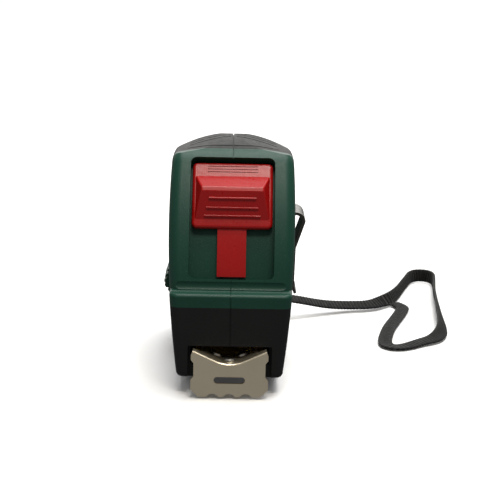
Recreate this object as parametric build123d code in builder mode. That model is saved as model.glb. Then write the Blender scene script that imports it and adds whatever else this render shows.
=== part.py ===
from build123d import *
from math import cos, pi, radians, sin, sqrt, tan
import os

# Pocket tape measure, 5 m of 19 mm blade, in millimetres.
# Frame: origin on the resting face under the middle of the case, mid-plane at X = 0,
# mouth and end hook towards -Y, belt clip on the +X side, +Z up.

os.makedirs("parts", exist_ok=True)

# ---- Driving dimensions ----
BLADE_WIDTH = 19.0
BLADE_LENGTH = 5000.0
BLADE_PITCH = 0.14          # one wound layer of coated steel
FLANK = ((12.9, -4), (15.5, 17), (16.9, 42), (15.9, 68))    # half width, Z
APEX_Z = 63.9               # top of the case
TOP_FRONT, TOP_MID, TOP_BACK = (-14.1, 62.2), (2.0, APEX_Z), (30.5, 59.0)
CROWN = (                   # Y, height of the crown's ridge, height of its shoulders
    (-46.0, 62.8, 61.4), (-14.0, 62.8, 61.4), (10.0, 63.75, 59.3), (28.0, 60.2, 53.8), (42.0, 54.5, 46.0),
)
SKIN = 1.3                  # rubber overmould
WALL = 3.0                  # overmould and shell together
CORNER = 3.0                # rounding of the case's side edges
SEAM = 0.12                 # half width of the seam line between the halves
FIT = 0.05                  # running clearance on a radius
CLEAR = 0.3                 # free clearance

# The front of the case, the lock slider and its track share one centre.
ARC_Y, ARC_Z = 48.3, 12.1
FRONT_R = 80.0
TRACK_R = 76.0              # floor of the slider's window
TRACK_BACK_R = 74.0         # inner side of that floor
WINDOW_LOW, WINDOW_HIGH = 13.4, 37.7    # degrees up the arc
WINDOW_HALF = 11.35
CHIN_B = -5.38              # where the front meets the chin
LOCK_TRAVEL = 7.2           # degrees of slider travel

# Coil, reel and spindle
REEL_Y, REEL_Z = 5.2, 35.4
COIL_R = 23.2
CORE_R = sqrt(COIL_R**2 - BLADE_LENGTH * BLADE_PITCH / pi)
DRUM_R = CORE_R - FIT
DRUM_WALL = 1.5
DRUM_HALF = BLADE_WIDTH / 2 - 0.2
WEB = 0.8
SPINDLE_R = 3.0
SPINDLE_HALF = 12.6
SPRING_T = 0.3
SPRING_PITCH = 1.2
SPRING_HALF_TURNS = 17
SPRING_START_R = 5.4
LINER_R, LINER_X, LINER_T = 22.5, 9.8, 0.3
ROOM_HALF = 13.0

# Blade, end hook and mouth
BEND_Z = 18.45              # centre of the blade's cross curve
BEND_TURN = 24.7            # degrees each side, where the straight wings begin
TANG_R = 9.0
TANG_T = 0.7
BLADE_R = TANG_R + TANG_T + FIT
BLADE_T = 0.15
BLADE_HALF = 8.88           # half the chord of the curved blade
BLADE_FRONT, BLADE_BACK = -35.7, 16.0
HOOK_FRONT = -36.6
HOOK_T = 0.8
HOOK_HALF = 9.7
TANG_BACK = -27.5
MOUTH_HALF = 11.15
MOUTH_TOP = 13.45
MOUTH_DEEP = -31.0          # the lower lip's face
LIP_Z = 7.9
RIVET_R = 0.9
RIVET_SPOTS = ((0, -32.4), (-24, -29.9), (24, -29.9))     # degrees round the curve, Y

# Screws, strap pin and clip
SCREW_SPOTS = ((-9.6, 57.5), (27.9, 49.6), (20.5, 12.5), (-10.0, 4.8))
SCREW_SEAT_X = -11.5
PIN_Y, PIN_Z, PIN_R, PIN_HALF = 30.0, 7.4, 1.25, 9.0
NOTCH_HALF, NOTCH_Y, NOTCH_Z = 4.6, 26.4, 12.6
PANEL_X, PANEL_R = 15.1, 20.5
CLIP_WIDTH, CLIP_T = 12.7, 0.8

# Wrist strap: webbing 4.3 x 0.9, carried here as a tube of the same section area.
WEB_WIDTH, WEB_T = 4.3, 0.9
TUBE_R = sqrt(WEB_WIDTH * WEB_T / pi)
NECK_ROUTE = (
    (0.0, 31.0, 7.6), (1.6, 38.0, 8.4), (9.0, 43.0, 7.6), (19.9, 45.2, 6.0),
    (30.4, 50.0, 2.6), (38.5, 53.6, 1.3), (45.2, 54.9, 1.3), (49.6, 59.0, 1.5),
)
LOOP_ROUTE = (
    (52.6, 62.4, 1.7), (55.4, 69.2, 2.1), (57.8, 77.6, 2.2), (60.2, 85.6, 2.2),
    (61.9, 91.3, 2.2), (64.9, 94.4, 2.2), (68.4, 93.6, 2.2), (70.1, 89.8, 2.2),
    (69.4, 82.0, 2.2), (68.0, 71.0, 2.2), (67.3, 58.0, 2.2), (66.3, 45.0, 2.2),
    (65.7, 33.5, 2.1), (64.6, 25.0, 1.8), (61.6, 19.3, 1.4), (57.0, 16.6, 1.3),
    (52.6, 12.6, 1.3), (49.2, 11.2, 1.3), (46.7, 13.0, 1.3), (46.3, 17.0, 1.3),
    (47.5, 24.6, 1.3), (49.4, 33.4, 1.3), (52.4, 43.0, 1.3), (55.1, 52.0, 1.3),
    (56.3, 57.8, 1.3), (53.6, 61.6, 1.5),
)
BARTACK_AT = (51.0, 60.7, 1.6)
BARTACK_TURN = radians(47)


def on_arc(radius, turn):
    """(Y, Z) at a radius and an angle up the front arc, from the arc's level line."""
    return (ARC_Y - radius * cos(radians(turn)), ARC_Z + radius * sin(radians(turn)))


def corner(sketch, y, z):
    """The sketch's vertex nearest to a point."""
    return sketch.vertices().sort_by_distance((y, z))[0]


def sector(r_in, r_out, low, high, half, round_r=0.0):
    """A slab between two radii and two angles of the front arc, to |X| = half."""
    with BuildPart(mode=Mode.PRIVATE) as slab:
        with BuildSketch(Plane.YZ.offset(-half)):
            with BuildLine():
                middle = (low + high) / 2
                ThreePointArc(on_arc(r_in, low), on_arc(r_in, middle), on_arc(r_in, high))
                Line(on_arc(r_in, high), on_arc(r_out, high))
                ThreePointArc(on_arc(r_out, high), on_arc(r_out, middle), on_arc(r_out, low))
                Line(on_arc(r_out, low), on_arc(r_in, low))
            make_face()
        extrude(amount=2 * half)
        if round_r:
            ends = slab.edges().filter_by(GeomType.LINE).filter_by(Axis.X, reverse=True)
            fillet(ends, radius=round_r)
    return slab.part


def redrawn(outline):
    """The same outline in plain lines and arcs."""
    with BuildSketch(mode=Mode.PRIVATE) as fresh:
        with BuildLine():
            for edge in outline.face().outer_wire().edges():
                if edge.geom_type == GeomType.LINE:
                    Line(edge @ 0, edge @ 1)
                else:
                    ThreePointArc(edge @ 0, edge @ 0.5, edge @ 1)
        make_face()
    return fresh.sketch


def side_profile(inset):
    """Side outline, in (Y, Z), of the case without its nose, pulled in by inset."""
    chin = on_arc(FRONT_R, CHIN_B)
    brow = on_arc(FRONT_R, 35)
    with BuildSketch(mode=Mode.PRIVATE) as side:
        with BuildLine():
            Polyline(chin, (-17, 0), (33, 0))
            ThreePointArc((33, 0), (34.2, 30), TOP_BACK)
            ThreePointArc(TOP_BACK, TOP_MID, TOP_FRONT)
            Line(TOP_FRONT, brow)
            ThreePointArc(brow, on_arc(FRONT_R, 15), chin)
        make_face()
        rounds = ((33, 0, 11), (*TOP_BACK, 12), (*TOP_FRONT, 8), (-17, 0, 12), (*chin, 3.6), (*brow, 12))
        for y, z, radius in rounds:
            fillet(corner(side, y, z), radius=radius)
        if inset:
            offset(amount=-inset)
    return redrawn(side.sketch)


def flank_prism(inset):
    """Everything between the flanks: widest at mid height, narrower at nose and brow."""
    flank = [(half - inset, z) for half, z in FLANK]
    low, high = flank[0], flank[-1]
    with BuildPart(mode=Mode.PRIVATE) as prism:
        with BuildSketch(Plane.XZ.offset(-45)):
            with BuildLine():
                Spline(*flank)
                Line(high, (-high[0], high[1]))
                Spline(*[(-half, z) for half, z in reversed(flank)])
                Line((-low[0], low[1]), low)
            make_face()
        extrude(amount=90)
    return prism.part


def crown_block(inset):
    """Everything under the crowned top, whose shoulders fall further towards the back."""
    edge, wall = 16.2, 17.8
    with BuildPart(mode=Mode.PRIVATE) as crown:
        for y, ridge, shoulder in CROWN:
            top, side = ridge - inset, shoulder - inset
            with BuildSketch(Plane.XZ.offset(-y)) as section:
                with BuildLine():
                    ThreePointArc((edge, side), (0, top), (-edge, side))
                    Polyline((-edge, side), (-wall, side - 9), (-wall, -4))
                    Polyline((-wall, -4), (wall, -4), (wall, side - 9), (edge, side))
                make_face()
                fillet(section.vertices().group_by(Axis.Y)[-1], radius=2.2)
        loft()
    return crown.part


def main_block(inset):
    """The case without its nose, pulled in by inset all round."""
    with BuildPart(mode=Mode.PRIVATE) as block:
        with BuildSketch(Plane.YZ.offset(-20)):
            add(side_profile(inset))
        extrude(amount=40)
        add(flank_prism(inset), mode=Mode.INTERSECT)
        flanks = block.faces().sort_by(Axis.X)
        fillet(flanks[0].edges() + flanks[-1].edges(), radius=max(CORNER - inset, 0.6))
        add(crown_block(inset), mode=Mode.INTERSECT)
    return block.part


def nose_block(inset):
    """The nose that stands proud of the front arc, round the mouth."""
    sill, brow = (-33.9, 5.0), (-33.3, 27.3)
    with BuildPart(mode=Mode.PRIVATE) as block:
        with BuildSketch(Plane.YZ.offset(-20)):
            with BuildLine():
                Polyline(sill, brow, (-24, 28.6), (-24, 2.6), close=True)
            make_face()
            if inset:
                offset(amount=-inset)
        extrude(amount=40)
        add(flank_prism(inset), mode=Mode.INTERSECT)
        corners = block.edges().filter_by(lambda e: e.length > 12 and abs(e.center().X) > 8)
        fillet(corners.sort_by(Axis.Y)[:2], radius=2.4 - inset)
        for spot, radius in ((sill, 1.6), (brow, 1.0)):
            edge = block.edges().filter_by(Axis.X).sort_by_distance((0, *spot))[0]
            fillet(edge, radius=max(radius - inset, 0.3))
    return block.part


def x_cylinder(y, z, radius, x_low, x_high):
    """A round bar along X."""
    with BuildPart(mode=Mode.PRIVATE) as bar:
        with BuildSketch(Plane.YZ.offset(x_low)):
            with Locations((y, z)):
                Circle(radius)
        extrude(amount=x_high - x_low)
    return bar.part


def ring(y, z, outer, inner, x_low, x_high):
    """A round bar along X with a bore."""
    with BuildPart(mode=Mode.PRIVATE) as band:
        add(x_cylinder(y, z, outer, x_low, x_high))
        add(x_cylinder(y, z, inner, x_low, x_high), mode=Mode.SUBTRACT)
    return band.part


def reel_point(radius, turn):
    """(Y, Z) at a radius and an angle round the reel's centre."""
    return (REEL_Y + radius * cos(radians(turn)), REEL_Z + radius * sin(radians(turn)))


def block_at(x_range, y_range, z_range):
    """A rectangular block between three pairs of limits."""
    with BuildPart(mode=Mode.PRIVATE) as block:
        centre = tuple((low + high) / 2 for low, high in (x_range, y_range, z_range))
        with Locations(centre):
            Box(*[high - low for low, high in (x_range, y_range, z_range)])
    return block.part


def wing_height(radius, half):
    """Z of a face of the blade's cross curve, out on a straight wing."""
    turn = radians(BEND_TURN)
    return BEND_Z - radius * cos(turn) + (half - radius * sin(turn)) * tan(turn)


def cross_curve(radius, half):
    """Lines of one face of the blade's cross curve: an arc with a straight wing each side."""
    turn = radians(BEND_TURN)
    bend = (radius * sin(turn), BEND_Z - radius * cos(turn))
    tip = (half, wing_height(radius, half))
    Line((-tip[0], tip[1]), (-bend[0], bend[1]))
    ThreePointArc((-bend[0], bend[1]), (0, BEND_Z - radius), bend)
    Line(bend, tip)


def curved_strip(inner, thick, half, y_front, y_back):
    """A strip with the blade's cross curve: inner radius, thickness and half chord."""
    top, low = wing_height(inner, half), wing_height(inner + thick, half)
    with BuildPart(mode=Mode.PRIVATE) as strip:
        with BuildSketch(Plane.XZ.offset(-y_back)):
            with BuildLine():
                cross_curve(inner, half)
                cross_curve(inner + thick, half)
                Line((half, top), (half, low))
                Line((-half, top), (-half, low))
            make_face()
        extrude(amount=y_back - y_front)
    return strip.part


def radial_plane(turn, y, radius):
    """A plane on the blade's cross curve, facing the curve's centre."""
    a = radians(turn)
    spot = (radius * sin(a), y, BEND_Z - radius * cos(a))
    return Plane(origin=spot, x_dir=(0, 1, 0), z_dir=(-sin(a), 0, cos(a)))


# ---- Case envelope and its two materials ----
envelope = main_block(0) + nose_block(0)
core = main_block(SKIN) + nose_block(SKIN)

with BuildPart() as green_zone:
    with BuildSketch(Plane.YZ.offset(-20)) as zone:
        ring_r = 25.0
        lower, upper = reel_point(ring_r, 222), reel_point(ring_r, 112)
        with BuildLine():
            Polyline((-45, 24), (-21, 23.6), lower)
            ThreePointArc(lower, reel_point(ring_r, -13), upper)
            Polyline(upper, (-11.2, 61.2), (-11.7, 70), (-45, 70), (-45, 24))
        make_face()
        for y, z, radius in ((-21, 23.6, 5), (*lower, 5), (*upper, 2), (-11.2, 61.2, 1.5)):
            fillet(corner(zone, y, z), radius=radius)
    extrude(amount=40)

# ---- Openings through the case ----
window = sector(TRACK_R, 92, WINDOW_LOW, WINDOW_HIGH, WINDOW_HALF, 1.8)
stem_slot = sector(TRACK_BACK_R - 1, TRACK_R + 0.5, 16.8, 30.0, 2.9)
tail_pocket = sector(TRACK_R, TRACK_R + 1.9, 5.8, WINDOW_LOW + 1, 4.1)

with BuildPart() as soft_groove:
    with BuildSketch(Plane.YZ.offset(-20)):
        with Locations(on_arc(FRONT_R + 1.7, 12.2)):
            Circle(2.0)
    extrude(amount=40)

with BuildPart() as mouth:
    add(block_at((-MOUTH_HALF, MOUTH_HALF), (-40, MOUTH_DEEP), (-5, MOUTH_TOP)))
    add(block_at((-10.5, 10.5), (-32, -16), (LIP_Z, 13.9)))
    add(block_at((-5.9, 5.9), (-26.6, -16), (LIP_Z, 17)))
    add(sector(60, 74.9, -6, 10.4, 5.9))

with BuildPart() as strap_notch:
    add(block_at((-NOTCH_HALF, NOTCH_HALF), (NOTCH_Y, 40), (-5, NOTCH_Z)))
    inner_top = strap_notch.edges().filter_by(Axis.X).sort_by_distance((0, NOTCH_Y, NOTCH_Z))[0]
    fillet(inner_top, radius=3)

# ---- Room inside the case, less the bosses, guides and ribs that stand in it ----
with BuildPart() as room:
    add(main_block(WALL))
    add(block_at((-ROOM_HALF, ROOM_HALF), (-40, 40), (-5, 70)), mode=Mode.INTERSECT)
    add(x_cylinder(ARC_Y, ARC_Z, TRACK_BACK_R, -20, 20), mode=Mode.INTERSECT)
    add(block_at((-20, 20), (-40, -17.5), (-5, 16)), mode=Mode.SUBTRACT)
    add(block_at((-20, 20), (23.4, 40), (-5, 15.6)), mode=Mode.SUBTRACT)
    for y, z in SCREW_SPOTS:
        add(x_cylinder(y, z, 3.0, -20, 20), mode=Mode.SUBTRACT)
    for x_low, x_high in ((-20, -LINER_X - LINER_T - 0.1), (LINER_X + LINER_T + 0.1, 20)):
        add(ring(REEL_Y, REEL_Z, 21.0, 18.6, x_low, x_high), mode=Mode.SUBTRACT)
    for x_low, x_high in ((-20, -SPINDLE_HALF + 1.4), (SPINDLE_HALF - 1.4, 20)):
        add(x_cylinder(REEL_Y, REEL_Z, 5.5, x_low, x_high), mode=Mode.SUBTRACT)

with BuildPart() as bores:
    for y, z in SCREW_SPOTS:
        add(x_cylinder(y, z, 2.7, -20, SCREW_SEAT_X))
        add(x_cylinder(y, z, 1.4, -20, 0))
        add(x_cylinder(y, z, 1.2, 0, 10))
    add(x_cylinder(REEL_Y, REEL_Z, SPINDLE_R + FIT, -SPINDLE_HALF - 0.1, SPINDLE_HALF + 0.1))
    add(x_cylinder(REEL_Y, REEL_Z, 1.5, 0, 20))
    add(x_cylinder(PIN_Y, PIN_Z, PIN_R + 0.02, -PIN_HALF - 0.1, PIN_HALF + 0.1))

with BuildPart() as panels:
    for x_low, x_high in ((-20, -PANEL_X), (PANEL_X, 20)):
        add(x_cylinder(REEL_Y, REEL_Z, PANEL_R, x_low, x_high))

# ---- Tread on the top cap: one cross groove, then chevrons that open forwards ----
TREAD_W = 0.6
CHEVRON_PITCH, CHEVRON_ARM, CHEVRON_TURN = 3.7, 13.5, 33
with BuildPart() as tread_cutter:
    with BuildSketch(Plane.XY.offset(50)):
        with Locations((0, -8.6)):
            Rectangle(25, TREAD_W)
        for row in range(9):
            for side in (-1, 1):
                with Locations((side * 6.4, -0.6 + CHEVRON_PITCH * row)):
                    Rectangle(CHEVRON_ARM, TREAD_W, rotation=-side * CHEVRON_TURN)
    extrude(amount=30)

with BuildPart() as tread:
    add(tread_cutter.part)
    add(main_block(0.5), mode=Mode.SUBTRACT)
    add(block_at((-12.8, 12.8), (-8.9, 26), (57, 70)), mode=Mode.INTERSECT)

with BuildPart() as seam_line:
    add(block_at((-SEAM, SEAM), (-60, 60), (-20, 90)))
    add(main_block(0.5), mode=Mode.SUBTRACT)
    add(nose_block(0.5), mode=Mode.SUBTRACT)

# ---- Ribbed finger rest on the left flank: five steps ----
REST_FRONT, REST_LONG = -6.0, 14.0
with BuildPart() as finger_rest:
    with BuildSketch(Plane.XZ.offset(REST_FRONT)):
        with BuildLine():
            Polyline((-14.6, 24.6), (-18.2, 24.6), (-19.3, 21.2), (-19.1, 19.6), (-16.4, 15.8),
                     (-14.6, 15.8), close=True)
        make_face()
        for height, depth in ((23.5, 17.6), (21.9, 18.1), (20.3, 18.4), (18.7, 17.5), (17.1, 16.4)):
            with Locations((-depth - 2, height)):
                Rectangle(4, 0.7, mode=Mode.SUBTRACT)
    extrude(amount=-REST_LONG)

# ---- Overmould and shells ----
with BuildPart() as overmould:
    add(envelope)
    add(core, mode=Mode.SUBTRACT)
    add(green_zone.part, mode=Mode.SUBTRACT)

with BuildPart() as frame_shell:
    add(envelope)
    add(window, mode=Mode.SUBTRACT)
    add(soft_groove.part, mode=Mode.SUBTRACT)
    add(overmould.part, mode=Mode.SUBTRACT)
    for cut in (stem_slot, tail_pocket, mouth.part, strap_notch.part, room.part, bores.part, panels.part):
        add(cut, mode=Mode.SUBTRACT)

left_space = block_at((-30, 0), (-60, 60), (-20, 90))
right_space = block_at((0, 30), (-60, 60), (-20, 90))

with BuildPart() as case_left:
    add(frame_shell.part)
    add(seam_line.part, mode=Mode.SUBTRACT)
    add(finger_rest.part)
    add(left_space, mode=Mode.INTERSECT)

with BuildPart() as case_right:
    add(frame_shell.part)
    add(seam_line.part, mode=Mode.SUBTRACT)
    add(right_space, mode=Mode.INTERSECT)

with BuildPart() as grip_shell:
    add(overmould.part)
    for cut in (mouth.part, strap_notch.part, bores.part, tread.part, panels.part, seam_line.part):
        add(cut, mode=Mode.SUBTRACT)

with BuildPart() as grip_left:
    add(grip_shell.part)
    add(left_space, mode=Mode.INTERSECT)

with BuildPart() as grip_right:
    add(grip_shell.part)
    add(right_space, mode=Mode.INTERSECT)

# ---- Fasteners that close the case: pan-head self-tapping screws from the left ----
with BuildPart() as case_screws:
    for y, z in SCREW_SPOTS:
        add(x_cylinder(y, z, 1.15, SCREW_SEAT_X, 9.0))
        add(x_cylinder(y, z, 2.4, SCREW_SEAT_X - 1.5, SCREW_SEAT_X))
        with BuildSketch(Plane.YZ.offset(SCREW_SEAT_X - 2)):
            with Locations((y, z)):
                Rectangle(2.6, 0.6)
                Rectangle(0.6, 2.6)
        extrude(amount=1.4, mode=Mode.SUBTRACT)

# ---- Reel: drum with its web, cover, wound blade, return spring and its anchor ----
with BuildPart() as reel_drum:
    add(x_cylinder(REEL_Y, REEL_Z, DRUM_R, -DRUM_HALF, DRUM_HALF))
    add(x_cylinder(REEL_Y, REEL_Z, DRUM_R - DRUM_WALL, -DRUM_HALF + WEB, DRUM_HALF), mode=Mode.SUBTRACT)
    add(x_cylinder(REEL_Y, REEL_Z, 4.6, -DRUM_HALF, -DRUM_HALF + 2.4))
    add(x_cylinder(REEL_Y, REEL_Z, SPINDLE_R + FIT, -DRUM_HALF - 1, DRUM_HALF), mode=Mode.SUBTRACT)

with BuildPart() as reel_cover:
    add(x_cylinder(REEL_Y, REEL_Z, DRUM_R - DRUM_WALL - 0.02, DRUM_HALF - WEB, DRUM_HALF))
    add(x_cylinder(REEL_Y, REEL_Z, SPINDLE_R + FIT, 0, 20), mode=Mode.SUBTRACT)

with BuildPart() as blade_coil:
    add(x_cylinder(REEL_Y, REEL_Z, COIL_R, -BLADE_WIDTH / 2, BLADE_WIDTH / 2))
    add(x_cylinder(REEL_Y, REEL_Z, CORE_R, -BLADE_WIDTH / 2, BLADE_WIDTH / 2), mode=Mode.SUBTRACT)

with BuildPart() as return_spring:
    with BuildSketch(Plane.YZ.offset(-DRUM_HALF + WEB + 0.4)):
        with BuildLine():
            turns = []
            for half_turn in range(SPRING_HALF_TURNS):
                radius = SPRING_START_R + half_turn * SPRING_PITCH / 2
                way = 1 if half_turn % 2 == 0 else -1
                centre = REEL_Y if way > 0 else REEL_Y - SPRING_PITCH / 2
                turns.append((centre, radius, way))
            for offset_r, order in ((SPRING_T / 2, turns), (-SPRING_T / 2, turns[::-1])):
                for centre, radius, way in order:
                    r = radius + offset_r
                    ThreePointArc((centre - r * way, REEL_Z), (centre, REEL_Z + r * way),
                                  (centre + r * way, REEL_Z))
            first_centre, first_r, first_way = turns[0]
            last_centre, last_r, last_way = turns[-1]
            ends = ((first_centre, first_r, -first_way), (last_centre, last_r, last_way))
            for centre, radius, way in ends:
                Line((centre + (radius - SPRING_T / 2) * way, REEL_Z),
                     (centre + (radius + SPRING_T / 2) * way, REEL_Z))
        make_face()
    extrude(amount=2 * (DRUM_HALF - WEB - 0.4))

with BuildPart() as blade_anchor:
    with BuildSketch(Plane.YZ.offset(-5)):
        with Locations((REEL_Y + DRUM_R - DRUM_WALL - 0.5, REEL_Z)):
            Rectangle(0.6, 5.0)
    extrude(amount=10)
    fillet(blade_anchor.edges().filter_by(Axis.Y), radius=0.25)

with BuildPart() as centre_spindle:
    add(x_cylinder(REEL_Y, REEL_Z, SPINDLE_R, -SPINDLE_HALF, SPINDLE_HALF))
    with Locations((0, REEL_Y, REEL_Z)):
        Box(2 * DRUM_HALF - 3, 0.7, 10, mode=Mode.SUBTRACT)
    chamfer(centre_spindle.faces().filter_by(Axis.X).sort_by(Axis.X)[0].edges(), length=0.4)
    add(x_cylinder(REEL_Y, REEL_Z, 1.17, 9.6, 20), mode=Mode.SUBTRACT)

with BuildPart() as side_liner_left:
    add(ring(REEL_Y, REEL_Z, LINER_R, SPINDLE_R + CLEAR, -LINER_X - LINER_T, -LINER_X))

with BuildPart() as side_liner_right:
    add(ring(REEL_Y, REEL_Z, LINER_R, SPINDLE_R + CLEAR, LINER_X, LINER_X + LINER_T))

# ---- Blade, its rivets and the end hook ----
RIVET_FOOT = -TANG_T - BLADE_T - 0.35
RIVET_STEPS = (          # radius, from, to, taper, measured from the tang's inner face
    (RIVET_R, RIVET_FOOT, 0.2, 0),
    (1.75, 0.14, 0.6, 30),
    (1.4, RIVET_FOOT, RIVET_FOOT + 0.2, 0),
)
with BuildPart() as hook_rivets:
    for turn, y in RIVET_SPOTS:
        for radius, low, high, taper in RIVET_STEPS:
            with BuildSketch(radial_plane(turn, y, TANG_R).offset(low)):
                Circle(radius)
            extrude(amount=high - low, taper=taper)

with BuildPart() as blade:
    add(curved_strip(BLADE_R, BLADE_T, BLADE_HALF, BLADE_FRONT, BLADE_BACK))
    for turn, y in RIVET_SPOTS:
        with BuildSketch(radial_plane(turn, y, TANG_R - 1)):
            Circle(RIVET_R + 0.02)
        extrude(amount=-4, mode=Mode.SUBTRACT)

with BuildPart() as end_hook:
    add(curved_strip(TANG_R, TANG_T, HOOK_HALF, HOOK_FRONT + HOOK_T, -33.8))
    add(curved_strip(TANG_R, TANG_T, 7.6, -34.4, TANG_BACK))
    for turn, y in RIVET_SPOTS:
        with BuildSketch(radial_plane(turn, y + 0.5, TANG_R - 1)):
            SlotOverall(2 * RIVET_R + 1.2, 2 * RIVET_R + 0.1)
        extrude(amount=-4, mode=Mode.SUBTRACT)
    with BuildSketch(Plane.XZ.offset(-(HOOK_FRONT + HOOK_T))) as plate:
        edge_x, edge_z = HOOK_HALF, wing_height(TANG_R, HOOK_HALF)
        with BuildLine():
            cross_curve(TANG_R, HOOK_HALF)
            Polyline((edge_x, edge_z), (10.2, 11.7), (10.2, 10.5), (9.5, 9.6), (9.5, 5.9), (10.25, 5.0),
                     (10.25, 2.4), (8.3, 0.4), (-8.3, 0.4), (-10.25, 2.4), (-10.25, 5.0), (-9.5, 5.9),
                     (-9.5, 9.6), (-10.2, 10.5), (-10.2, 11.7), (-edge_x, edge_z))
        make_face()
        with Locations((0, 5.0)):
            SlotOverall(8.3, 1.8, mode=Mode.SUBTRACT)
        with Locations((-4.4, -0.65), (0, -0.65), (4.4, -0.65)):
            Circle(1.9, mode=Mode.SUBTRACT)
        low_tips = [v for v in plate.vertices() if v.Y < 0.6]
        fillet(low_tips, radius=0.45)
    extrude(amount=HOOK_T)
    fold = end_hook.edges().filter_by(
        lambda e: e.length > 6 and e.center().Y < HOOK_FRONT + 0.01 and 9 < e.center().Z < 12.8)
    fillet(fold, radius=0.5)

# ---- Lock slider with its arm, and the rubber brake pad it carries ----
slider_turn = 30.2
slider_half, slider_rim = 10.8, 78.6
slider_plane = Plane(
    origin=(0, *on_arc(77.2, slider_turn)), x_dir=(1, 0, 0),
    z_dir=(0, -cos(radians(slider_turn)), sin(radians(slider_turn))))
hump_low, hump_high, hump_half, hump_foot = -7.3, 5.6, 10.1, 0.9
crest_low, crest_high, crest_half, crest_rise = -0.2, 0.9, 8.3, 5.0
lock_axis = Axis((0, ARC_Y, ARC_Z), (1, 0, 0))
brake_foot = block_at((-5.2, 5.2), (-26.2, -20.5), (11.7, 14.2)).rotate(lock_axis, -LOCK_TRAVEL)

with BuildPart() as slider_hump:
    with BuildSketch(slider_plane.offset(hump_foot)):
        with Locations((0, (hump_low + hump_high) / 2)):
            Rectangle(2 * hump_half, hump_high - hump_low)
    with BuildSketch(slider_plane.offset(crest_rise)):
        with Locations((0, (crest_low + crest_high) / 2)):
            Rectangle(2 * crest_half, crest_high - crest_low)
    loft()
    foot = slider_hump.faces().sort_by(Axis(slider_plane.origin, slider_plane.z_dir))[0]
    fillet(slider_hump.edges() - foot.edges(), radius=0.5)

with BuildPart() as slider_plate:
    add(sector(TRACK_R + 0.25, slider_rim, 23.4, 37.0, slider_half, 1.3))
    front_face = slider_plate.faces().filter_by(GeomType.CYLINDER).sort_by(Axis.Y)[0]
    fillet(front_face.edges(), radius=0.8)
    for turn in (36.1, 35.5, 34.9):
        add(sector(slider_rim - 0.2, slider_rim + 1, turn - 0.12, turn + 0.12, 6.8), mode=Mode.SUBTRACT)

with BuildPart() as lock_slider:
    add(slider_plate.part)
    add(slider_hump.part)
    add(sector(TRACK_R + 0.25, 77.6, 13.9, 24, 3.85))
    add(sector(72.9, TRACK_R + 0.6, 24.5, 29.5, 2.6))
    add(sector(72.3, TRACK_BACK_R - CLEAR, 7.9, 29.5, 3.4))
    add(brake_foot)
    for share in (0.25, 0.57, 0.84):
        rise = crest_rise + (hump_foot - crest_rise) * share + 0.05
        climb = crest_low + (hump_low - crest_low) * share
        rib_half = 5.8 + 2.0 * share
        rib_end = slider_plane.from_local_coords(Vector(-rib_half, climb, rise))
        with BuildSketch(Plane(origin=rib_end, x_dir=(0, 1, 0), z_dir=(1, 0, 0))):
            Circle(0.36)
        extrude(amount=2 * rib_half)

with BuildPart() as pad_block:
    add(block_at((-5.0, 5.0), (-26.0, -20.7), (8.2, 11.7)))
    add(curved_strip(BLADE_R - 0.1, 3.0, 6.0, -27, -20), mode=Mode.SUBTRACT)
brake_pad = pad_block.part.rotate(lock_axis, -LOCK_TRAVEL)

# ---- Belt clip: one strip bent over itself, screwed through the right panel ----
with BuildPart() as belt_clip:
    with BuildSketch(Plane.XZ.offset(-(REEL_Y + CLIP_WIDTH / 2))):
        with BuildLine():
            plate_x = PANEL_X + 0.05 + CLIP_T / 2
            Line((plate_x, 26.5), (plate_x, 40.6))
            ThreePointArc((plate_x, 40.6), (18.0, 42.9), (20.3, 40.7))
            Line((20.3, 40.7), (17.75, 33.0))
            Line((17.75, 33.0), (17.5, 21.8))
            Line((17.5, 21.8), (18.3, 19.8))
        trace(line_width=CLIP_T)
    extrude(amount=CLIP_WIDTH)
    add(x_cylinder(REEL_Y, REEL_Z, 1.5, 15, 17), mode=Mode.SUBTRACT)

with BuildPart() as clip_screw:
    add(x_cylinder(REEL_Y, REEL_Z, 1.15, 9.8, PANEL_X + 1.2))
    add(x_cylinder(REEL_Y, REEL_Z, 2.5, PANEL_X + 0.05 + CLIP_T, PANEL_X + 1.7))
    with BuildSketch(Plane.YZ.offset(PANEL_X + 1.2)):
        with Locations((REEL_Y, REEL_Z)):
            Rectangle(3.0, 0.6)
            Rectangle(0.6, 3.0)
    extrude(amount=2, mode=Mode.SUBTRACT)

# ---- Label on the left panel, above the finger rest ----
with BuildPart() as side_label:
    add(x_cylinder(REEL_Y + 1, 41.2, 14.0, -PANEL_X - 0.3, -PANEL_X))

# ---- Wrist strap: pin across the notch, neck, stitched joint and loop ----
def corner_radii(route):
    """Corner radii of a strap route: 0.45 of the shorter run over the tangent of half the turn."""
    radii = []
    for before, here, after in zip(route, route[1:], route[2:]):
        run_in = Vector(here) - Vector(before)
        run_out = Vector(after) - Vector(here)
        half_turn = radians(run_in.get_angle(run_out)) / 2
        radii.append(0.45 * min(run_in.length, run_out.length) / tan(half_turn))
    return radii


def strap_tube(name, route):
    """The webbing's tube along a route; prints its corner radii, length and volume check."""
    radii = corner_radii(route)
    with BuildPart(mode=Mode.PRIVATE) as tube:
        with BuildLine() as line:
            FilletPolyline(*route, radius=radii)
        with BuildSketch(Plane(origin=line.line @ 0, z_dir=line.line % 0)):
            Circle(TUBE_R)
        sweep()
    length = line.wire().length
    filled = tube.part.volume / (pi * TUBE_R**2 * length)
    print(name, "radii", [round(radius, 1) for radius in radii])
    print(name, "length", round(length, 1), "volume over section times length", round(filled, 4))
    return tube.part


with BuildPart() as strap_pin:
    add(x_cylinder(PIN_Y, PIN_Z, PIN_R, -PIN_HALF, PIN_HALF))
    chamfer(strap_pin.faces().filter_by(Axis.X).edges(), length=0.3)

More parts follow.
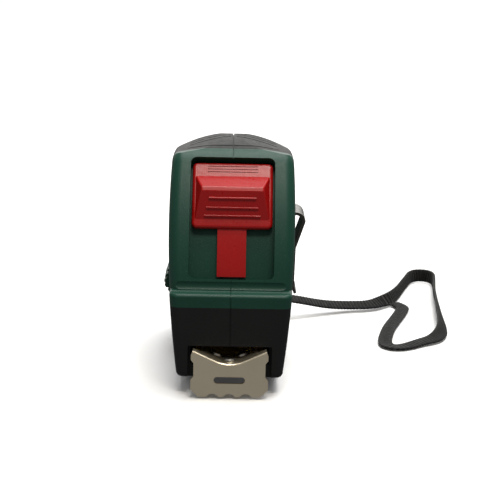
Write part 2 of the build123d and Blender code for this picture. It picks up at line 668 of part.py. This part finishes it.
BARTACK_T = 2.6
with BuildPart() as strap_bartack:
    with BuildSketch(Plane(BARTACK_AT, (cos(BARTACK_TURN), sin(BARTACK_TURN), 0)).offset(-BARTACK_T / 2)):
        RectangleRounded(7.0, 5.0, 1.0)
    extrude(amount=BARTACK_T)

wrist_strap_neck = strap_tube("wrist_strap_neck", NECK_ROUTE)
wrist_strap_loop = strap_tube("wrist_strap_loop", LOOP_ROUTE)

# ---- Labels and files ----
case_left.part.label = "case_left"
export_step(case_left.part, "parts/case_left.step")
case_right.part.label = "case_right"
export_step(case_right.part, "parts/case_right.step")
grip_left.part.label = "grip_left"
export_step(grip_left.part, "parts/grip_left.step")
grip_right.part.label = "grip_right"
export_step(grip_right.part, "parts/grip_right.step")
side_liner_left.part.label = "side_liner_left"
export_step(side_liner_left.part, "parts/side_liner_left.step")
side_liner_right.part.label = "side_liner_right"
export_step(side_liner_right.part, "parts/side_liner_right.step")
case_screws.part.label = "case_screws"
export_step(case_screws.part, "parts/case_screws.step")
reel_drum.part.label = "reel_drum"
export_step(reel_drum.part, "parts/reel_drum.step")
reel_cover.part.label = "reel_cover"
export_step(reel_cover.part, "parts/reel_cover.step")
blade_coil.part.label = "blade_coil"
export_step(blade_coil.part, "parts/blade_coil.step")
return_spring.part.label = "return_spring"
export_step(return_spring.part, "parts/return_spring.step")
blade_anchor.part.label = "blade_anchor"
export_step(blade_anchor.part, "parts/blade_anchor.step")
centre_spindle.part.label = "centre_spindle"
export_step(centre_spindle.part, "parts/centre_spindle.step")
hook_rivets.part.label = "hook_rivets"
export_step(hook_rivets.part, "parts/hook_rivets.step")
blade.part.label = "blade"
export_step(blade.part, "parts/blade.step")
end_hook.part.label = "end_hook"
export_step(end_hook.part, "parts/end_hook.step")
lock_slider.part.label = "lock_slider"
export_step(lock_slider.part, "parts/lock_slider.step")
brake_pad.label = "brake_pad"
export_step(brake_pad, "parts/brake_pad.step")
belt_clip.part.label = "belt_clip"
export_step(belt_clip.part, "parts/belt_clip.step")
clip_screw.part.label = "clip_screw"
export_step(clip_screw.part, "parts/clip_screw.step")
side_label.part.label = "side_label"
export_step(side_label.part, "parts/side_label.step")
strap_pin.part.label = "strap_pin"
export_step(strap_pin.part, "parts/strap_pin.step")
strap_bartack.part.label = "strap_bartack"
export_step(strap_bartack.part, "parts/strap_bartack.step")
wrist_strap_neck.label = "wrist_strap_neck"
export_step(wrist_strap_neck, "parts/wrist_strap_neck.step")
wrist_strap_loop.label = "wrist_strap_loop"
export_step(wrist_strap_loop, "parts/wrist_strap_loop.step")
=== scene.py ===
import bpy
import bmesh
import math
import numpy as np
from mathutils import Matrix, Vector


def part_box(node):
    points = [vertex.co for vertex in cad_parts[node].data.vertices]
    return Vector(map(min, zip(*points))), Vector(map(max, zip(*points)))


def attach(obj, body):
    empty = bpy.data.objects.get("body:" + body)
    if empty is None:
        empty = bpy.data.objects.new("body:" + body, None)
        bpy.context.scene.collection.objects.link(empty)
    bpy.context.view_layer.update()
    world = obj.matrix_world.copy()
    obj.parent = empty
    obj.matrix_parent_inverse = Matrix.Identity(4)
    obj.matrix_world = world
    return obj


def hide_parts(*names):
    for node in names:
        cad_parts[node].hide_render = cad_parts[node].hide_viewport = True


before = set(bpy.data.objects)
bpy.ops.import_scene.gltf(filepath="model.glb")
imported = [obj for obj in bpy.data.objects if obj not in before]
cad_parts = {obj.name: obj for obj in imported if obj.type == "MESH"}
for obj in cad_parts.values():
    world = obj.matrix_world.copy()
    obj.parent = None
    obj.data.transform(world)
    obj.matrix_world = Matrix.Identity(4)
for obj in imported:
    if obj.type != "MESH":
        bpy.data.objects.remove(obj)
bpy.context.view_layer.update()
MM = 0.001

# ---- Camera: in front of the case, a little above it and tilted down ----
CAMERA_AT = (-0.00008, -0.4142, 0.12758)
LENS, SENSOR = 108, 36
TURN, DOWN, ROLL = math.radians(-0.733), math.radians(12.997), math.radians(1.217)
look = Vector((-math.sin(TURN) * math.cos(DOWN), math.cos(TURN) * math.cos(DOWN), -math.sin(DOWN)))
level = Vector((math.cos(TURN), math.sin(TURN), 0))
over = level.cross(look)
right = level * math.cos(ROLL) + over * math.sin(ROLL)
upward = over * math.cos(ROLL) - level * math.sin(ROLL)
camera_data = bpy.data.cameras.new("camera")
camera_data.lens = LENS
camera_data.sensor_width = SENSOR
camera_data.clip_start = 0.01
camera = bpy.data.objects.new("camera", camera_data)
bpy.context.scene.collection.objects.link(camera)
camera.matrix_world = Matrix.Translation(CAMERA_AT) @ Matrix(
    (right, upward, -look)).transposed().to_4x4()
bpy.context.scene.camera = camera
bpy.context.scene.view_settings.view_transform = "Standard"


# ---- Mesh helpers ----
def link(name, mesh):
    piece = bpy.data.objects.new(name, mesh)
    bpy.context.scene.collection.objects.link(piece)
    return piece


def follow(points):
    """Points along the smooth NURBS spline that has these as its control points."""
    curve = bpy.data.curves.new("route", "CURVE")
    curve.dimensions = "3D"
    curve.resolution_u = 24
    spline = curve.splines.new("NURBS")
    spline.points.add(len(points) - 1)
    for target, co in zip(spline.points, points):
        target.co = (*co, 1)
    spline.order_u = 3
    spline.use_endpoint_u = True
    holder = bpy.data.objects.new("route", curve)
    bpy.context.scene.collection.objects.link(holder)
    mesh = bpy.data.meshes.new_from_object(holder)
    line = np.array([v.co for v in mesh.vertices], float)
    bpy.data.objects.remove(holder)
    bpy.data.meshes.remove(mesh)
    bpy.data.curves.remove(curve)
    return line


def evenly(line, extra, step):
    """The line and its extra values again, at even steps of length."""
    run = np.concatenate([[0], np.cumsum(np.linalg.norm(np.diff(line, axis=0), axis=1))])
    at = np.linspace(0, run[-1], int(run[-1] / step) + 1)
    return (at, np.stack([np.interp(at, run, line[:, i]) for i in range(3)], 1),
            np.stack([np.interp(at, run, extra[:, i]) for i in range(extra.shape[1])], 1))


RIB_PITCH = 1.15 * MM


def band(name, at, centre, across, out, half_w, half_t, closed=False):
    """Ribbed webbing: rings of points across the band, one for each point of its centre line."""
    profile = [(-1.0, 0.0), (-0.95, 0.62), (-0.8, 0.95), (-0.4, 1.0), (0.0, 1.0), (0.4, 1.0),
               (0.8, 0.95), (0.95, 0.62), (1.0, 0.0), (0.95, -0.62), (0.8, -0.95), (0.4, -1.0),
               (0.0, -1.0), (-0.4, -1.0), (-0.8, -0.95), (-0.95, -0.62)]
    mesh = bmesh.new()
    rings = []
    for s, c, w, n in zip(at, centre, across, out):
        rib = 0.5 + 0.5 * math.cos(2 * math.pi * s / RIB_PITCH)
        ring = []
        for a, b in profile:
            thick = half_t * (0.68 + 0.42 * rib * (1 - 0.6 * abs(a) ** 4))
            wide = half_w * (0.985 + 0.02 * rib)
            ring.append(mesh.verts.new(c + w * (a * wide) + n * (b * thick)))
        rings.append(ring)
    count = len(profile)
    pairs = list(zip(rings, rings[1:])) + ([(rings[-1], rings[0])] if closed else [])
    for first, second in pairs:
        for i in range(count):
            j = (i + 1) % count
            mesh.faces.new((first[i], second[i], second[j], first[j]))
    if not closed:
        mesh.faces.new(rings[0])
        mesh.faces.new(rings[-1][::-1])
    bmesh.ops.recalc_face_normals(mesh, faces=mesh.faces)
    data = bpy.data.meshes.new(name)
    mesh.to_mesh(data)
    mesh.free()
    for face in data.polygons:
        face.use_smooth = True
    return link(name, data)


# ---- Wrist strap: points in mm, twist in degrees (0 lies flat, 90 stands on edge) ----
STRAP = (
    (0.0, 31.0, 7.6, 180), (1.6, 38.0, 8.4, 178), (9.0, 43.0, 7.6, 165), (19.9, 45.2, 6.0, 158),
    (30.4, 50.0, 2.9, 156), (38.5, 53.6, 1.9, 158), (45.2, 54.9, 1.8, 158), (49.6, 59.0, 2.0, 142),
    (52.6, 62.4, 2.2, 118), (55.4, 69.2, 2.3, 102), (57.8, 77.6, 2.3, 98), (60.2, 85.6, 2.3, 98),
    (61.9, 91.3, 2.3, 100), (64.9, 94.4, 2.3, 106), (68.4, 93.6, 2.3, 104), (70.1, 89.8, 2.3, 96),
    (69.4, 82.0, 2.3, 90), (68.0, 71.0, 2.3, 84), (67.3, 58.0, 2.3, 72), (66.3, 45.0, 2.3, 60),
    (65.7, 33.5, 2.2, 50), (64.6, 25.0, 1.8, 36), (61.6, 19.3, 1.2, 14), (57.0, 16.6, 0.8, 6),
    (52.6, 12.6, 0.6, 4), (49.2, 11.2, 0.6, 2), (46.7, 13.0, 0.6, 0), (46.3, 17.0, 0.6, 0),
    (47.5, 24.6, 0.6, 0), (49.4, 33.4, 0.6, 0), (52.4, 43.0, 0.6, 0), (55.1, 52.0, 0.6, 0),
    (56.3, 57.8, 0.6, 0), (53.6, 61.6, 0.6, 0),
)
WEB_W, WEB_T = 4.3 * MM, 0.9 * MM
RING_STEP = 0.21 * MM
line = follow([Vector(p[:3]) * MM for p in STRAP])
twist = follow([(p[3] * MM, 0, 0) for p in STRAP])
at, centre, angle = evenly(line, twist, RING_STEP)
along = np.gradient(centre, axis=0)
frames = []
for step, turn in zip(along, angle[:, 0] / MM):
    ahead = Vector(step).normalized()
    side = ahead.cross(Vector((0, 0, 1))).normalized()
    up = side.cross(ahead)
    a = math.radians(turn)
    frames.append((side * math.cos(a) + up * math.sin(a), up * math.cos(a) - side * math.sin(a)))
middle = [Vector(c) for c in centre]
strap = band("wrist_strap", at, middle, [across for across, _ in frames], [out for _, out in frames],
             WEB_W / 2, WEB_T / 2)
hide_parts("wrist_strap_neck", "wrist_strap_loop")
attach(strap, "case")

# The end of the strap that wraps the bar.
pin_low, pin_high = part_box("strap_pin")
bar = (pin_low + pin_high) / 2
wrap_r = (pin_high.z - pin_low.z) / 2 + 0.05 * MM + WEB_T / 2
spots = [math.radians(i * 4) for i in range(90)]
outward = [Vector((0, math.cos(t), math.sin(t))) for t in spots]
wrap = band("strap_wrap", [t * wrap_r for t in spots], [bar + o * wrap_r for o in outward],
            [Vector((1, 0, 0))] * 90, outward, WEB_W / 2, WEB_T / 2, closed=True)
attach(wrap, "case")


def thread(name, paths, radius):
    """Round threads along several open paths, in one mesh."""
    curve = bpy.data.curves.new(name, "CURVE")
    curve.dimensions = "3D"
    curve.bevel_depth = radius
    curve.bevel_resolution = 2
    curve.use_fill_caps = True
    for path in paths:
        spline = curve.splines.new("POLY")
        spline.points.add(len(path) - 1)
        for target, co in zip(spline.points, path):
            target.co = (*co, 1)
    holder = bpy.data.objects.new(name, curve)
    bpy.context.scene.collection.objects.link(holder)
    mesh = bpy.data.meshes.new_from_object(holder)
    bpy.data.objects.remove(holder)
    bpy.data.curves.remove(curve)
    for face in mesh.polygons:
        face.use_smooth = True
    return link(name, mesh)


# Three zigzag rows across the band, where the loop is sewn to the neck.
STITCH, THREAD_R = 0.15 * MM, 0.12 * MM
tack_low, tack_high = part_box("strap_bartack")
tack = (tack_low + tack_high) / 2
joint = min(range(len(middle) // 2), key=lambda i: (middle[i].xy - tack.xy).length)
rows = []
for row in (-8, 0, 8):
    path = []
    for i in range(25):
        ring = joint + row + (2 if i % 2 else -2)
        across, out = frames[ring]
        above = out if out.z > 0 else -out
        path.append(middle[ring] + across * (i - 12) * STITCH + above * (WEB_T / 2 + THREAD_R / 2))
    rows.append(path)
stitches = thread("strap_stitches", rows, THREAD_R)
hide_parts("strap_bartack")
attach(stitches, "case")


# ---- Numbers printed on the blade, bent to its cross curve ----
BEND_Z, BLADE_R = 18.45 * MM, 9.75 * MM
BLADE_TIP = 35.7            # mm from the blade's tip back to the origin
BLADE_EDGE = 9.0            # mm from the mid-plane to where the ticks start
PRINT = 0.012 * MM


def number(text, spot_y, height):
    curve = bpy.data.curves.new("number_" + text, "FONT")
    curve.body = text
    curve.size = height
    curve.align_x = "CENTER"
    curve.align_y = "CENTER"
    holder = bpy.data.objects.new("number", curve)
    bpy.context.scene.collection.objects.link(holder)
    mesh = bpy.data.meshes.new_from_object(holder)
    bpy.data.objects.remove(holder)
    bpy.data.curves.remove(curve)
    for v in mesh.vertices:
        x, y = -v.co.y, v.co.x + spot_y
        v.co = (x, y, BEND_Z - math.sqrt((BLADE_R - PRINT) ** 2 - x * x))
    return mesh


numbers = bmesh.new()
for value in range(1, 5):
    mesh = number(str(value), (10 * value - BLADE_TIP) * MM, 6.0 * MM)
    numbers.from_mesh(mesh)
    bpy.data.meshes.remove(mesh)
number_mesh = bpy.data.meshes.new("blade_numbers")
numbers.to_mesh(number_mesh)
numbers.free()
blade_numbers = link("blade_numbers", number_mesh)
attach(blade_numbers, "blade")


# ---- Materials ----
class Look:
    """A procedural material in the object's own coordinates."""

    def __init__(self, name, colour, rough, metal=0.0, **sockets):
        self.material = bpy.data.materials.new(name)
        self.material.use_nodes = True
        self.tree = self.material.node_tree
        self.shader = self.tree.nodes["Principled BSDF"]
        self.shader.inputs["Base Color"].default_value = (*colour, 1)
        self.shader.inputs["Roughness"].default_value = rough
        self.shader.inputs["Metallic"].default_value = metal
        for socket, value in sockets.items():
            self.shader.inputs[socket.replace("_", " ")].default_value = value
        self.coord = self.tree.nodes.new("ShaderNodeTexCoord").outputs["Object"]
        self.normal = None

    def node(self, kind, **settings):
        made = self.tree.nodes.new("ShaderNode" + kind)
        for name, value in settings.items():
            setattr(made, name, value)
        return made

    def wire(self, source, target):
        self.tree.links.new(source, target)

    def stretched(self, scale):
        mapping = self.node("Mapping")
        mapping.inputs["Scale"].default_value = scale
        self.wire(self.coord, mapping.inputs["Vector"])
        return mapping.outputs["Vector"]

    def noise(self, scale, detail=2.0, stretch=None):
        made = self.node("TexNoise")
        made.inputs["Scale"].default_value = scale
        made.inputs["Detail"].default_value = detail
        self.wire(self.stretched(stretch) if stretch else self.coord, made.inputs["Vector"])
        return made.outputs["Fac"]

    def cells(self, scale):
        made = self.node("TexVoronoi")
        made.inputs["Scale"].default_value = scale
        self.wire(self.coord, made.inputs["Vector"])
        return made.outputs["Distance"]

    def waves(self, axis, scale, distortion=0.0):
        made = self.node("TexWave", bands_direction=axis)
        made.inputs["Scale"].default_value = scale
        made.inputs["Distortion"].default_value = distortion
        self.wire(self.coord, made.inputs["Vector"])
        return made.outputs["Fac"]

    def maths(self, operation, first, second=None):
        made = self.node("Math", operation=operation)
        for socket, value in zip(made.inputs, (first, second)):
            if value is None:
                continue
            if isinstance(value, (int, float)):
                socket.default_value = value
            else:
                self.wire(value, socket)
        return made.outputs[0]

    def range(self, value, low, high, to_low=0.0, to_high=1.0):
        made = self.node("MapRange")
        bounds = {"From Min": low, "From Max": high, "To Min": to_low, "To Max": to_high}
        for name, bound in bounds.items():
            made.inputs[name].default_value = bound
        self.wire(value, made.inputs["Value"])
        return made.outputs["Result"]

    def tint(self, fac, first, second):
        """Colour between two colours, or a colour socket and a colour, by fac."""
        made = self.node("Mix", data_type="RGBA")
        self.wire(fac, made.inputs[0])
        for socket, value in ((made.inputs[6], first), (made.inputs[7], second)):
            if isinstance(value, tuple):
                socket.default_value = (*value, 1)
            else:
                self.wire(value, socket)
        self.wire(made.outputs[2], self.shader.inputs["Base Color"])
        return made.outputs[2]

    def rough(self, fac, low, high):
        self.wire(self.range(fac, 0, 1, low, high), self.shader.inputs["Roughness"])

    def bump(self, height, distance, strength=1.0):
        made = self.node("Bump")
        made.inputs["Strength"].default_value = strength
        made.inputs["Distance"].default_value = distance
        self.wire(height, made.inputs["Height"])
        if self.normal:
            self.wire(self.normal, made.inputs["Normal"])
        self.normal = made.outputs["Normal"]
        self.wire(self.normal, self.shader.inputs["Normal"])

    def split(self):
        made = self.node("SeparateXYZ")
        self.wire(self.coord, made.inputs[0])
        return made.outputs

    def on(self, *names):
        for name in names:
            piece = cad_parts.get(name) or bpy.data.objects[name]
            piece.data.materials.clear()
            piece.data.materials.append(self.material)


# Green shell: fine grain and faint sparkle, with painted shade that makes it nearly black inside the
# mouth.
# The box inside the mouth that gets the painted shade.
MOUTH_SHADE_HALF, MOUTH_SHADE_TOP, MOUTH_SHADE_BACK = 12.4 * MM, 16.8 * MM, -20 * MM
green = Look("green_shell", (0.008, 0.055, 0.035), 0.42, Specular_IOR_Level=0.3)
x, y, z = green.split()
mouth_shade_xz = green.maths("MULTIPLY", green.maths("LESS_THAN", green.maths("ABSOLUTE", x), MOUTH_SHADE_HALF),
                     green.maths("LESS_THAN", z, MOUTH_SHADE_TOP))
mouth_shade = green.maths("MULTIPLY", mouth_shade_xz, green.maths("LESS_THAN", y, MOUTH_SHADE_BACK))
tone = green.tint(green.noise(60, 3), (0.006, 0.046, 0.029), (0.010, 0.064, 0.041))
tone = green.tint(green.range(green.noise(3600, 1), 0.66, 0.8), tone, (0.035, 0.10, 0.072))
# Painted shade: the shell colour turns nearly black inside the mouth, where shade falls.
green.tint(mouth_shade, tone, (0.006, 0.008, 0.008))
green.rough(green.noise(900, 2), 0.34, 0.52)
green.bump(green.range(green.cells(3400), 0.1, 0.5), 0.04 * MM, 0.5)
green.bump(green.noise(150, 3), 0.12 * MM, 0.2)
green.on("case_left", "case_right")

# Overmould: matt black rubber, lightly mottled.
black = Look("black_rubber", (0.010, 0.011, 0.011), 0.6, Specular_IOR_Level=0.25)
black.tint(black.noise(90, 3), (0.007, 0.008, 0.008), (0.013, 0.013, 0.013))
black.rough(black.noise(700, 2), 0.48, 0.7)
black.bump(black.noise(2600, 2), 0.05 * MM, 0.6)
black.on("grip_left", "grip_right")

# Brake pad: rough rubber.
pad = Look("pad_rubber", (0.02, 0.02, 0.02), 0.8)
pad.tint(pad.noise(300, 2), (0.014, 0.014, 0.014), (0.03, 0.03, 0.03))
pad.bump(pad.noise(1800, 2), 0.06 * MM, 0.7)
pad.on("brake_pad")

# Slider: semi-gloss red with a fine woven grain.
red = Look("red_plastic", (0.42, 0.006, 0.006), 0.3, Specular_IOR_Level=0.38)
red.tint(red.noise(80, 3), (0.36, 0.004, 0.004), (0.48, 0.007, 0.006))
red.rough(red.noise(1200, 2), 0.22, 0.38)
red.bump(red.maths("MULTIPLY", red.waves("X", 520), red.waves("Z", 640)), 0.03 * MM, 0.35)
red.bump(red.noise(900, 2), 0.03 * MM, 0.3)
red.on("lock_slider")

# Hook: warm nickel plate, brushed across.
nickel = Look("hook_steel", (0.90, 0.79, 0.58), 0.34, 1.0)
nickel.tint(nickel.noise(120, 3), (0.84, 0.73, 0.53), (0.95, 0.84, 0.64))
nickel.rough(nickel.noise(500, 3, (1, 1, 9)), 0.28, 0.5)
nickel.bump(nickel.noise(900, 2, (7, 1, 0.6)), 0.02 * MM, 0.35)
nickel.on("end_hook")

# Rivets: bright steel.
rivet = Look("rivet_steel", (0.55, 0.52, 0.46), 0.28, 1.0)
rivet.tint(rivet.noise(400, 3), (0.45, 0.43, 0.38), (0.62, 0.59, 0.52))
rivet.bump(rivet.noise(1500, 2), 0.02 * MM, 0.4)
rivet.on("hook_rivets")

# Clip: dark spring steel, brushed along.
steel = Look("clip_steel", (0.10, 0.097, 0.088), 0.34, 1.0)
steel.tint(steel.noise(90, 3), (0.075, 0.072, 0.064), (0.13, 0.125, 0.112))
steel.rough(steel.noise(500, 3, (1, 1, 8)), 0.26, 0.46)
steel.bump(steel.noise(1100, 2, (1, 6, 1)), 0.02 * MM, 0.3)
steel.on("belt_clip")

# Screws and bar: blackened steel.
zinc = Look("screw_steel", (0.09, 0.09, 0.09), 0.35, 1.0)
zinc.tint(zinc.noise(500, 3), (0.06, 0.06, 0.06), (0.14, 0.14, 0.13))
zinc.bump(zinc.noise(1500, 2), 0.02 * MM, 0.4)
zinc.on("case_screws", "clip_screw", "strap_pin")

# Spindle: turned steel.
turned = Look("spindle_steel", (0.5, 0.5, 0.5), 0.3, 1.0)
turned.tint(turned.noise(300, 3, (6, 1, 1)), (0.42, 0.42, 0.42), (0.58, 0.58, 0.57))
turned.bump(turned.noise(1500, 2, (5, 1, 1)), 0.02 * MM, 0.4)
turned.on("centre_spindle")

# Return spring and its clip: blued strip.
blued = Look("spring_steel", (0.12, 0.14, 0.2), 0.32, 1.0)
blued.tint(blued.noise(200, 3), (0.09, 0.11, 0.17), (0.2, 0.19, 0.2))
blued.bump(blued.noise(1500, 2), 0.02 * MM, 0.3)
blued.on("return_spring", "blade_anchor")

# Drum, cover and liners: natural plastic.
acetal = Look("reel_plastic", (0.62, 0.61, 0.57), 0.45)
acetal.tint(acetal.noise(120, 3), (0.58, 0.57, 0.53), (0.68, 0.67, 0.63))
acetal.bump(acetal.noise(1200, 2), 0.03 * MM, 0.3)
acetal.on("reel_drum", "reel_cover", "side_liner_left", "side_liner_right")

# Blade: a tick at each millimetre along both edges, longer at five and ten.
paint = Look("blade_paint", (0.72, 0.48, 0.03), 0.3, Coat_Weight=0.4, Coat_Roughness=0.15)
x, y, _ = paint.split()
reach = paint.maths("ADD", paint.maths("MULTIPLY", y, 1000), BLADE_TIP)
edge = paint.maths("ABSOLUTE", paint.maths("MULTIPLY", x, 1000))


def ticks(every, width, long):
    """Where the ticks of one rank are, all in mm."""
    phase = paint.maths("ABSOLUTE", paint.maths("SUBTRACT", paint.maths(
        "FRACT", paint.maths("ADD", paint.maths("DIVIDE", reach, every), 0.5)), 0.5))
    thin = paint.maths("LESS_THAN", phase, width / 2 / every)
    return paint.maths("MULTIPLY", thin, paint.maths("GREATER_THAN", edge, BLADE_EDGE - long))


long_marks = paint.maths("MAXIMUM", ticks(5, 0.26, 3.0), ticks(10, 0.3, 5.0))
marks = paint.maths("MAXIMUM", ticks(1, 0.22, 1.9), long_marks)
ground = paint.tint(paint.noise(80, 3), (0.68, 0.45, 0.025), (0.76, 0.52, 0.04))
paint.tint(marks, ground, (0.01, 0.01, 0.01))
paint.bump(paint.noise(900, 2), 0.01 * MM, 0.3)
paint.on("blade", "blade_coil")

# Ink of the numbers.
ink = Look("blade_ink", (0.012, 0.012, 0.012), 0.4)
ink.tint(ink.noise(700, 2), (0.01, 0.01, 0.01), (0.02, 0.02, 0.02))
ink.bump(ink.noise(2000, 2), 0.01 * MM, 0.3)
ink.on("blade_numbers")

# Label: plain rings round its middle.
RING_IN, RING_OUT, DISC_R = 11.6 * MM, 12.4 * MM, 8.8 * MM
film = Look("label_film", (0.5, 0.5, 0.48), 0.4)
label_low, label_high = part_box("side_label")
label_mid = (label_low + label_high) / 2
_, y, z = film.split()
away_y, away_z = film.maths("SUBTRACT", y, label_mid.y), film.maths("SUBTRACT", z, label_mid.z)
radius = film.maths("SQRT", film.maths("ADD", film.maths("MULTIPLY", away_y, away_y),
                                       film.maths("MULTIPLY", away_z, away_z)))
outer = film.maths("MULTIPLY", film.maths("GREATER_THAN", radius, RING_IN),
                   film.maths("LESS_THAN", radius, RING_OUT))
inner = film.maths("LESS_THAN", radius, DISC_R)
sheet = film.tint(film.noise(200, 3), (0.46, 0.46, 0.44), (0.54, 0.54, 0.52))
disc = film.tint(inner, sheet, (0.02, 0.09, 0.06))
film.tint(outer, disc, (0.02, 0.02, 0.02))
film.bump(film.noise(900, 2), 0.02 * MM, 0.3)
film.on("side_label")

# Strap: fuzzy black yarn.
web = Look("webbing", (0.012, 0.012, 0.012), 0.75, Specular_IOR_Level=0.2, Sheen_Weight=0.1,
           Sheen_Roughness=0.5)
web.tint(web.range(web.noise(1400, 3), 0.35, 0.7), (0.002, 0.002, 0.002), (0.014, 0.014, 0.013))
web.rough(web.noise(800, 2), 0.6, 0.9)
web.bump(web.noise(3200, 2), 0.12 * MM, 0.8)
web.bump(web.cells(2400), 0.08 * MM, 0.5)
web.on("wrist_strap", "strap_wrap")

# Stitches: paler thread.
yarn = Look("stitch_thread", (0.05, 0.05, 0.05), 0.55)
yarn.tint(yarn.noise(2500, 2), (0.03, 0.03, 0.03), (0.16, 0.16, 0.15))
yarn.bump(yarn.noise(5000, 2), 0.05 * MM, 0.8)
yarn.on("strap_stitches")

# ---- Floor, backdrop and light ----
def staged(name, shape):
    """A piece of the stage, which reflections and bounced light don't see."""
    mesh = bpy.data.meshes.new(name)
    shape.to_mesh(mesh)
    shape.free()
    piece = link(name, mesh)
    piece.visible_glossy = False
    piece.visible_diffuse = False
    return piece


FLOOR_HALF, WALL_R, WALL_HIGH = 8, 7.6, 8
FLOOR_Z = -0.2 * MM
shape = bmesh.new()
bmesh.ops.create_grid(shape, x_segments=2, y_segments=2, size=FLOOR_HALF)
floor = staged("floor", shape)
floor.location = (0, 0, FLOOR_Z)
paper = Look("floor_paper", (0.96, 0.96, 0.96), 0.8, Emission_Color=(1, 1, 1, 1), Emission_Strength=0.03)
paper.tint(paper.noise(6, 2), (0.95, 0.95, 0.95), (0.98, 0.98, 0.98))
paper.on("floor")

shape = bmesh.new()
bmesh.ops.create_cone(shape, cap_ends=False, segments=96, radius1=WALL_R, radius2=WALL_R, depth=WALL_HIGH)
wall = staged("backdrop", shape)
wall.visible_shadow = False
card = Look("backdrop_card", (0.9, 0.9, 0.9), 0.9, Emission_Color=(1, 1, 1, 1), Emission_Strength=0.9)
card.tint(card.noise(2, 2), (0.88, 0.88, 0.88), (0.92, 0.92, 0.92))
card.on("backdrop")


def lamp(name, spot, aim, width, height, watts, colour):
    """A rectangular area light at spot, turned towards aim."""
    data = bpy.data.lights.new(name, "AREA")
    data.shape = "RECTANGLE"
    data.size = width
    data.size_y = height
    data.energy = watts
    data.color = colour
    made = bpy.data.objects.new(name, data)
    bpy.context.scene.collection.objects.link(made)
    made.location = spot
    made.rotation_euler = (Vector(aim) - Vector(spot)).to_track_quat("-Z", "Y").to_euler()


# A broad light from overhead, a small one above the front and a wide one behind that grazes the top.
sky = bpy.data.lights.new("sky", "SUN")
sky.energy = 2.75
sky.angle = math.radians(45)
sky_lamp = bpy.data.objects.new("sky", sky)
bpy.context.scene.collection.objects.link(sky_lamp)
sky_lamp.rotation_euler = (math.radians(-14), math.radians(8), 0)
middle_of = (0.0, 0.0, 0.04)
lamp("key", (0.08, -0.40, 0.78), middle_of, 0.30, 0.22, 3.2, (1.0, 0.96, 0.88))
lamp("back", (0.0, 0.95, 0.40), middle_of, 1.4, 0.45, 5, (1.0, 0.985, 0.95))
world = bpy.data.worlds.new("studio")
bpy.context.scene.world = world
world.use_nodes = True
world.node_tree.nodes["Background"].inputs["Color"].default_value = (1, 1, 1, 1)
world.node_tree.nodes["Background"].inputs["Strength"].default_value = 0.22
